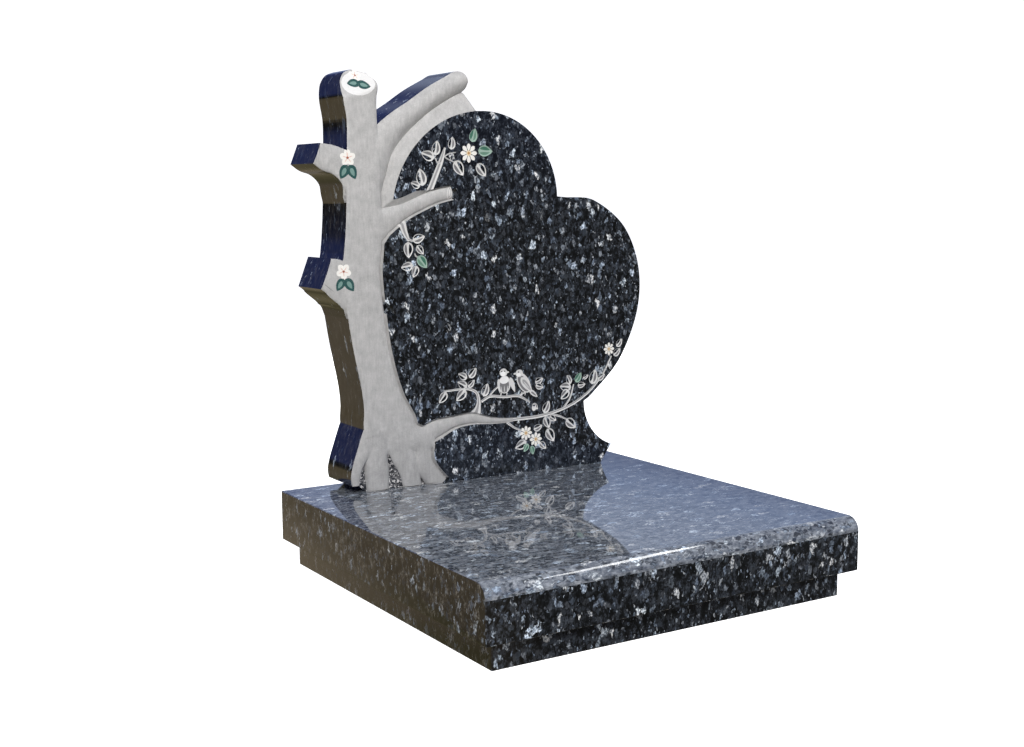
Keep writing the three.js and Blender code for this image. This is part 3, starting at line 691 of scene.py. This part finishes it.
def blossomMarks():
    # five round petals about a seed with a fine ray in each, and leaves with a pale middle
    marks = []
    for x, y, radius, turn in ornament["blossoms"]:
        out, wide, rayFrom, rayLong, rayWide, seed = (radius * blossom[part] for part in (
            "out", "wide", "rayFrom", "rayLong", "rayWide", "seed"))
        spokes = turn + np.arange(blossom["petals"]) * 360 / blossom["petals"]
        ways = [(k, np.cos(np.radians(k)), np.sin(np.radians(k))) for k in spokes]
        marks += [("oval", x + out * c, y + out * s, k, radius, wide, "petal") for k, c, s in ways]
        marks += [("pointed", x + rayFrom * c, y + rayFrom * s, k, rayLong, rayWide, "ray") for k, c, s in ways]
        marks.append(("oval", x, y, 0, seed, seed, "seed"))
    for x, y, angle, length in ornament["blossomLeaves"]:
        wide, start, paleLong, paleWide = (length * blossom[part] for part in (
            "leafWide", "paleFrom", "paleLong", "paleWide"))
        c, s = np.cos(np.radians(angle)), np.sin(np.radians(angle))
        marks += [("pointed", x, y, angle, length, wide, "bottle"),
                  ("pointed", x + start * c, y + start * s, angle, paleLong, paleWide, "sage")]
    return marks


def leafGap(leaf, side, wide):
    # the dark crescent between midrib and rim on one side of a leaf
    low, high = ornament["gapEnds"]
    middle = ornament["gapMiddle"]
    t = np.linspace(low, high, 9)
    half = leaf[3] * ornament["leafWidth"] * leafHalf(t)
    swell = np.sqrt(np.sin(np.pi * (t - low) / (high - low)).clip(0)) * wide / 2
    inner, outer = half * (middle - swell), half * (middle + swell)
    return np.vstack([onLine(leaf, t, side * inner), onLine(leaf, t[-2:0:-1], side * outer[-2:0:-1])])[::side]


def leafDepth(leaf, q):
    # two hollows with a low midrib between them
    c, s = np.cos(np.radians(leaf[2])), np.sin(np.radians(leaf[2]))
    rel = q - np.array(leaf[:2])
    t = (rel @ np.array([c, s]) / leaf[3]).clip(0, 1)
    half = leaf[3] * ornament["leafWidth"] * leafHalf(t) + 1e-6
    s = np.abs(rel @ np.array([-s, c])) / half
    cut = ornament["depth"] * np.sin(np.pi * s.clip(0, 1)) + ornament["midrib"] * (1 - s.clip(0, 1)) ** 2
    return np.where(s < 1, -cut * np.minimum(1, half / 3), 0)


def petalRing(spot, width, steps=9):
    # half width is a sine skewed by a power, so it is widest towards the tip
    foot = ornament["petalFoot"]
    t = np.linspace(foot, 1, steps)
    half = spot[3] * width * np.sin(np.pi * ((t - foot) / (1 - foot)) ** 1.5) ** 0.7
    return np.vstack([onLine(spot, t, -half), onLine(spot, t[-2:0:-1], half[-2:0:-1])])


plan = {"points": [], "count": 0, "faces": [], "edges": [], "names": []}
spread = {
    "above": (-20, 680, 800),   # left, right and top of all that is kept
    "carved": ((10, 116), (400, 760)), "face": ((150, 120), (640, 700)), "faceStep": 16,
    "shoulders": (0.9, 0.975), "beside": 0.7,   # extra lines inside and outside a limb's edge
    "clear": 0.45, "far": 9.0, "slope": 0.8, "bandFrom": 0.3,   # how near an edge loose points may come
}


def addPoints(points):
    # the rows that the new points take in the plan
    start = plan["count"]
    plan["points"].append(np.asarray(points, float))
    plan["count"] += len(points)
    return np.arange(start, plan["count"])


def addRing(name, points):
    plan["faces"].append(addPoints(points).tolist())
    plan["names"].append(name)


def addLine(points):
    # an open line, each point joined to the next
    rows = addPoints(points)
    plan["edges"] += np.column_stack([rows[:-1], rows[1:]]).tolist()


def hexGrid(low, high, step):
    # rows of points the height of an even triangle apart, every other row shifted by half a step
    x, y = np.meshgrid(np.arange(low[0], high[0], step), np.arange(low[1], high[1], step * 0.866))
    x = x + (np.arange(len(x)) % 2)[:, None] * step / 2
    return np.column_stack([x.ravel(), y.ravel()])


walks = {name: walk(limb["stations"]) for name, limb in limbs.items()}


def bandRise(q):
    # falls from the heart's left edge out to the branch
    x, y, radius = stone["leftLobe"]
    out = np.linalg.norm(q - (x, y), axis=1) - radius
    return -stone["bandDepth"] * out / stone["bandWidth"]


def bandRing():
    # out along the band's outer arc and back along the heart's left edge
    x, y, radius = stone["leftLobe"]
    start, end = stone["bandAngles"][0] - 8, stone["bandAngles"][1]
    return np.vstack([arc(x, y, radius + stone["bandWidth"], start, end, 60),
                      arc(x, y, radius, end, start, 60)])


def pocketRing():
    # round the ground between the first toe and the last, from the foot up
    outer, inner = limbs["toeA"]["stations"], limbs["toeD"]["stations"]
    left = [(x - half, y) for x, y, half in outer[1:5]]
    low = stone["foot"] - 2
    return np.array([(outer[5][0] - outer[5][2], low), (inner[6][0], low), inner[4][:2],
                     (inner[2][0] - inner[2][2], stone["pocketTop"])] + left)


def layOut():
    # every outline goes in as a ring, then loose points fill the carved ground
    farLeft, farRight, roof = spread["above"]
    addRing("above", [(farLeft, stone["foot"]), (farRight, stone["foot"]), (farRight, roof), (farLeft, roof)])
    heart = heartRing()
    addRing("heart", fineRing(heart))
    addLine(insetRing(heart, stone["arris"])[:-stone["behindTree"]])
    addRing("band", bandRing())
    addRing("pocket", fineRing(pocketRing()))
    grid = hexGrid(*spread["carved"], stone["gridStep"])
    ground = bandRise(grid)
    x, y, _ = stone["leftLobe"]
    around = np.degrees(np.arctan2(grid[:, 1] - y, grid[:, 0] - x)) % 360
    carvedGrid = ((ground < -spread["bandFrom"]) & (ground > -stone["bandDepth"])
                  & (around > stone["bandStart"]) & (around < stone["bandAngles"][1]))
    clear = np.full(len(grid), spread["far"])
    for name, limb in limbs.items():
        line, left = walks[name]
        length = wayAlong(line)
        addRing(name, fineRing(limbRing(line, left, 0, 0)))
        for share in spread["shoulders"]:
            addPoints(besideWalk(line, left, line[:, 2] * share))
            addPoints(besideWalk(line, left, -line[:, 2] * share))
        reach = stone["reach"] if "run" in limb else 1
        margin = line[:, 2].max() + reach
        close = ((grid > line[:, :2].min(0) - margin) & (grid < line[:, :2].max(0) + margin)).all(1)
        across, half, along, past = limbPlace(line, grid[close])
        inside = (np.abs(across) < half) & (past == 0)
        edgeGap = np.where(past == 0, np.abs(np.abs(across) - half), spread["far"])
        if "run" in limb:
            floor = channelFloor(limb, line[:, 2])
            runs = channelRuns(limb, length / length[-1])
            addRing(name + "Channel", fineRing(limbRing(line, left, floor * runs[0], floor * runs[1])))
            addPoints(besideWalk(line, left, line[:, 2] + spread["beside"]))
            addPoints(besideWalk(line, left, -line[:, 2] - spread["beside"]))
            rise = channelRise(limb, across, half, along / length[-1], past)
            inside |= rise < 0
            edgeGap = np.minimum(edgeGap, np.abs(rise) * spread["slope"])
        carvedGrid[close] |= inside
        clear[close] = np.minimum(clear[close], edgeGap)
    addPoints(grid[carvedGrid & (clear > spread["clear"] * stone["gridStep"])])
    addPoints(hexGrid(*spread["face"], spread["faceStep"]))
    for i, stations in enumerate(ornament["twigs"]):
        line, left = walk(stations, 5)
        addRing(f"twig{i}", limbRing(line, left, 0, 0))
        # a narrower ring down each twig's middle, for the painted shade in the groove's bottom
        addRing(f"core{i}", limbRing(line * (1, 1, ornament["core"]), left, 0, 0))
    for i, leaf in enumerate(ornament["leaves"]):
        addRing(f"leaf{i}", pointedRing(leaf, leaf[3] * ornament["leafWidth"]))
        addPoints(onLine(leaf, np.linspace(0.1, 0.9, 7), np.zeros(7)))
        for side, wide in zip((1, -1), ornament["gapWide"]):
            addRing(f"gap{i}{side:+d}", leafGap(leaf, side, wide))
    for i, (x, y, radius) in enumerate(ornament["daisies"]):
        for angle in np.arange(ornament["petals"]) * 360 / ornament["petals"]:
            addRing(f"petal{i}", petalRing((x, y, angle, radius), ornament["petalWidth"]))
        addRing(f"blush{i}", arc(x, y, radius * ornament["blush"], 0, 330, 12))
        addRing(f"eye{i}", arc(x, y, radius * ornament["eye"], 0, 330, 12))
    for i, mark in enumerate(marks):
        addRing(f"mark{i}", markRing(*mark[:6]))


marks = ornament["birds"] + ornament["sawnFaces"] + blossomMarks()
layOut()
print("headstone laid out:", plan["count"], "points,", len(plan["faces"]), "rings")


def triangulate():
    # constrained triangles over all rings, and which rings every triangle lies in
    coords = np.vstack(plan["points"])
    q, _, tris, _, _, owners = delaunay_2d_cdt(coords.tolist(), plan["edges"], plan["faces"], 1, 1e-4, True)
    q, tris = np.array([tuple(v) for v in q]), np.array(tris)
    sizes = [len(o) for o in owners]
    within = np.zeros((len(tris), len(plan["names"])), bool)
    within[np.repeat(np.arange(len(tris)), sizes), np.concatenate([np.array(o, int) for o in owners])] = True
    names = np.array(plan["names"])
    inRing = {name: within[:, names == name].any(1) for name in dict.fromkeys(plan["names"])}
    solid = inRing["above"] & (inRing["heart"] | np.any([inRing[name] for name in limbs], axis=0))
    return q, tris[solid], {name: rows[solid] for name, rows in inRing.items()}


q, tris, inRing = triangulate()
print("headstone front:", len(tris), "triangles")


def touching(rows):
    # points that a chosen triangle uses
    chosen = np.zeros(len(q), bool)
    chosen[tris[rows]] = True
    return chosen


def frontHeights():
    # limbs melt together where they cross; beside them lie the channels, the band and the pocket,
    # and ornament is cut into what is left of the face
    rises = np.full((len(limbs), len(q)), -np.inf)
    ground = np.zeros(len(q))
    for row, (name, limb) in enumerate(limbs.items()):
        mine = touching(inRing[name])
        across, half, along, _ = limbPlace(walks[name][0], q[mine])
        rises[row, mine] = limbRise(limb, across, half, along)
        if "run" in limb:
            mine = touching(inRing[name + "Channel"])
            across, half, along, past = limbPlace(walks[name][0], q[mine])
            share = along / wayAlong(walks[name][0])[-1]
            ground[mine] = np.minimum(ground[mine], channelRise(limb, across, half, share, past))
    band, pocket = touching(inRing["band"]), touching(inRing["pocket"])
    ground[band] = np.minimum(ground[band], bandRise(q[band]))
    ground[pocket] = np.minimum(ground[pocket], -stone["pocketDepth"])
    for i, stations in enumerate(ornament["twigs"]):
        mine = touching(inRing[f"twig{i}"])
        across, half = limbPlace(walk(stations, 5)[0], q[mine])[:2]
        ground[mine] = np.minimum(ground[mine], -ornament["depth"] * (1 - np.abs(across) / half).clip(0, 1))
    for i, leaf in enumerate(ornament["leaves"]):
        mine = touching(inRing[f"leaf{i}"])
        ground[mine] = np.minimum(ground[mine], leafDepth(leaf, q[mine]))
    for i, (shape, x, y, angle, length, width, _) in enumerate(marks):
        if shape == "oval":   # a shallow dish
            mine = touching(inRing[f"mark{i}"])
            c, s = np.cos(np.radians(angle)), np.sin(np.radians(angle))
            rel = (q[mine] - (x, y)) @ np.array([[c, -s], [s, c]]) / (length / 2, width / 2)
            dish = ornament["dish"] * min(1, width / ornament["dishWidth"]) * (1 - (rel**2).sum(1)).clip(0)
            ground[mine] = np.minimum(ground[mine], -dish)
    soft = stone["softness"]
    onTree = np.any([touching(inRing[name]) for name in limbs], axis=0)
    tree = np.logaddexp.reduce(rises / soft, axis=0) * soft
    height = np.where(onTree, np.minimum(tree, -stone["treeBelow"]), ground)
    sawn = touching(inRing["trunk"]) & (q[:, 1] > stone["sawnFrom"])
    height[sawn] = np.minimum(height[sawn], sawnPlane(q[sawn]))
    return height, onTree


height, onTree = frontHeights()


def faceFinish():
    # polished face, sanded carving, pecked pocket, and the paint of every front triangle
    onLimb = np.any([inRing[name] for name in limbs], axis=0)
    cuts = [name for name in inRing if name.endswith("Channel") or name == "band"]
    channels = np.any([inRing[name] for name in cuts], axis=0)
    finish = np.where(onLimb | channels, carved, polished)
    finish[inRing["pocket"] & ~onLimb] = pecked
    paint = np.tile(paints["none"], (len(tris), 1))

    def cover(rows, name):
        finish[rows] = polished if name == "bare" else carved
        paint[rows] = paints["none" if name == "bare" else name]

    for i in range(len(ornament["twigs"])):
        cover(inRing[f"twig{i}"] & ~onLimb, "frost")
        # painted shade: a grey line down the bottom of each twig groove
        cover(inRing[f"core{i}"] & ~onLimb, "grey")
    for i, leaf in enumerate(ornament["leaves"]):
        for ring, name in zip((f"leaf{i}", f"gap{i}+1", f"gap{i}-1"), leafPaints[leaf[4]]):
            cover(inRing[ring] & ~onLimb, name)
    for i in range(len(ornament["daisies"])):
        cover(inRing[f"petal{i}"], "petal")
        cover(inRing[f"blush{i}"], "blush")
        cover(inRing[f"eye{i}"], "eye")
    for i, mark in enumerate(marks):
        cover(inRing[f"mark{i}"] & (onLimb == (i >= len(ornament["birds"]))), mark[6])
    return finish, paint


finish, paint = faceFinish()


def closeStone():
    # rim edges belong to one triangle; from them walls run straight back to the flat back
    flipped = np.cross(q[tris[:, 1]] - q[tris[:, 0]], q[tris[:, 2]] - q[tris[:, 0]]) < 0
    front = np.where(flipped[:, None], tris[:, ::-1], tris)
    edges = np.vstack([front[:, [0, 1]], front[:, [1, 2]], front[:, [2, 0]]])
    key, back = edges[:, 0] * len(q) + edges[:, 1], edges[:, 1] * len(q) + edges[:, 0]
    rimEdges = edges[~np.isin(key, back)]
    rim = np.unique(rimEdges)
    lift = height.copy()
    lift[rim] -= np.where(onTree[rim], 0, stone["arris"])
    used = np.unique(front)
    place = np.full(len(q), -1)
    place[used] = np.arange(len(used))
    wall = np.full(len(q), -1)
    wall[rim] = np.arange(len(rim))
    points = np.vstack([np.column_stack([q[used], lift[used]]),
                        np.column_stack([q[rim], np.full(len(rim), -stone["thick"])])])
    a, b = rimEdges.T
    walls = np.column_stack([place[b], place[a], len(used) + wall[a], len(used) + wall[b]])
    rows = np.column_stack([points[:, 0] - halfSide, stone["faceY"] - points[:, 2], points[:, 1]])
    return rows, place[front], walls


def fillBack(mesh):
    # one flat face over the open outline at the back
    work = bmesh.new()
    work.from_mesh(mesh)
    filled = bmesh.ops.holes_fill(work, edges=[e for e in work.edges if e.is_boundary], sides=0)
    for face in filled["faces"]:
        face.material_index = polished
    work.to_mesh(mesh)
    work.free()


points, front, walls = closeStone()
headstone = meshPiece("heart_headstone", points, front.tolist() + walls.tolist(), "headstone",
                      np.concatenate([finish, np.full(len(walls), wallGrain)]))
layer = headstone.data.attributes.new("paint", "FLOAT_COLOR", "FACE")
bare = np.tile(paints["none"], (len(walls), 1))
layer.data.foreach_set("color", np.vstack([paint, bare]).astype(np.float32).ravel())
fillBack(headstone.data)
creaseMesh(headstone.data, stone["crease"])
print("headstone made:", len(headstone.data.polygons), "faces")


# Studio: pale floor and backdrop, a sky that only polished stone mirrors, and soft lamps

studio = {
    # height of the direction looked in, and the tone there, to the right and to the left
    "skyRight": [(-0.02, (0.1, 0.1, 0.1)), (0.06, (0.1, 0.13, 0.25)), (0.15, (0.215, 0.285, 0.47)),
                 (0.28, (0.37, 0.45, 0.64)), (0.38, (0.48, 0.55, 0.7)), (0.6, (0.2, 0.25, 0.4)),
                 (0.97, (0.5, 0.54, 0.62))],
    "skyLeft": [(-0.4, (0.24, 0.21, 0.115)), (-0.31, (0.38, 0.312, 0.215)), (-0.22, (0.44, 0.36, 0.25)),
                (-0.02, (0.44, 0.355, 0.215)), (0.012, (0.04, 0.036, 0.03)), (0.035, (0.015, 0.02, 0.04)),
                (0.06, (0.08, 0.12, 0.42)), (0.3, (0.07, 0.105, 0.36)), (0.42, (0.045, 0.07, 0.25)),
                (0.97, (0.3, 0.34, 0.42))],
    "across": [(0.22, 0.0), (0.41, 1.0)],   # where the left column gives way to the right one
    "soft": 0.45,   # share of the sky that lights dull stone
    "floor": (9, 3, 12), "floorTone": [(0.3, 0.88), (0.7, 0.9)],   # level radius, bend radius, rim
    "aim": (0, 0.1, 0.3),
    # name, place, size, watts, colour, and whether polish mirrors it
    "lamps": [
        ("key", (-1.7, -2.9, 2.5), (1.4, 1.4), 166, (1.0, 0.987, 0.97), False),
        ("fill", (-0.6, -3.0, 0.45), (2.0, 0.8), 13, (1.0, 0.995, 0.98), False),
        ("strip", (1.35, -0.55, 2.3), (1.8, 0.28), 13, (1.0, 1.0, 1.0), True),
        ("back", (0.4, 2.9, 0.8), (2.0, 1.0), 45, (1.0, 0.995, 0.98), False),
    ],
}


def makeSky():
    # tones by height, in two columns that blend from left to right
    world = bpy.data.worlds.new("sky")
    scene.world = world
    world.use_nodes = True
    tree = world.node_tree
    tree.nodes.clear()
    way = node(tree, "ShaderNodeTexCoord").outputs["Generated"]
    parts = node(tree, "ShaderNodeSeparateXYZ", {0: way}).outputs
    lift = node(tree, "ShaderNodeMapRange", {"Value": parts["Z"], 1: -1.0, 2: 1.0}).outputs[0]
    left, right = (ramp(tree, lift, [((height + 1) / 2, tone) for height, tone in studio[name]])
                   for name in ("skyLeft", "skyRight"))
    colour = blendColour(tree, ramp(tree, parts["X"], studio["across"]), left, right)
    dull = node(tree, "ShaderNodeLightPath").outputs["Is Diffuse Ray"]
    strength = node(tree, "ShaderNodeMapRange", {"Value": dull, 3: 1.0, 4: studio["soft"]}).outputs[0]
    shade = node(tree, "ShaderNodeBackground", {"Color": colour, "Strength": strength})
    node(tree, "ShaderNodeOutputWorld", {"Surface": shade.outputs[0]})


def makeFloor():
    # a level floor that bends up into a wall: a profile of radius and height turned once about the upright
    turn = np.radians(np.linspace(0, 90, 13))
    level, bend, rim = studio["floor"]
    curve = np.column_stack([level + bend * np.sin(turn), bend - bend * np.cos(turn)])
    profile = np.vstack([[(0.001, 0)], curve, [(rim, rim)]])
    around = np.radians(np.arange(0, 360, 5))
    points = np.stack([profile[:, :1] * np.cos(around), profile[:, :1] * np.sin(around),
                       np.repeat(profile[:, 1:], len(around), axis=1)], axis=-1)
    i, k = np.meshgrid(np.arange(len(profile) - 1), np.arange(len(around)), indexing="ij")
    n, nextK = len(around), (k + 1) % len(around)
    faces = np.stack([i * n + k, (i + 1) * n + k, (i + 1) * n + nextK, i * n + nextK], axis=-1).reshape(-1, 4)
    mesh = bpy.data.meshes.new("floor")
    mesh.from_pydata(points.reshape(-1, 3).tolist(), [], faces.tolist())
    mesh.polygons.foreach_set("use_smooth", np.ones(len(mesh.polygons), bool))
    material, tree = newMaterial("pale_floor")
    spot = node(tree, "ShaderNodeTexCoord").outputs["Object"]
    colour = ramp(tree, noise(tree, spot, 3.0)[0], studio["floorTone"])
    finishMaterial(tree, {"Base Color": colour, "Roughness": 0.9, "Emission Color": (1, 1, 1, 1),
                          "Emission Strength": 1.0})
    mesh.materials.append(material)
    floor = bpy.data.objects.new("floor", mesh)
    scene.collection.objects.link(floor)
    floor.visible_glossy = False
    floor.visible_diffuse = False


def makeLamps():
    # soft lamps aimed at the headstone's foot; only the strip shows in the polish
    for name, place, size, watts, colour, mirrored in studio["lamps"]:
        data = bpy.data.lights.new(name, "AREA")
        data.shape = "RECTANGLE"
        data.size, data.size_y = size
        data.energy = watts
        data.color = colour
        lamp = bpy.data.objects.new(name, data)
        scene.collection.objects.link(lamp)
        aim = Vector(studio["aim"]) - Vector(place)
        lamp.matrix_world = Matrix.Translation(place) @ aim.to_track_quat("-Z", "Y").to_matrix().to_4x4()
        lamp.visible_glossy = mirrored


makeSky()
makeFloor()
makeLamps()
print("studio made")
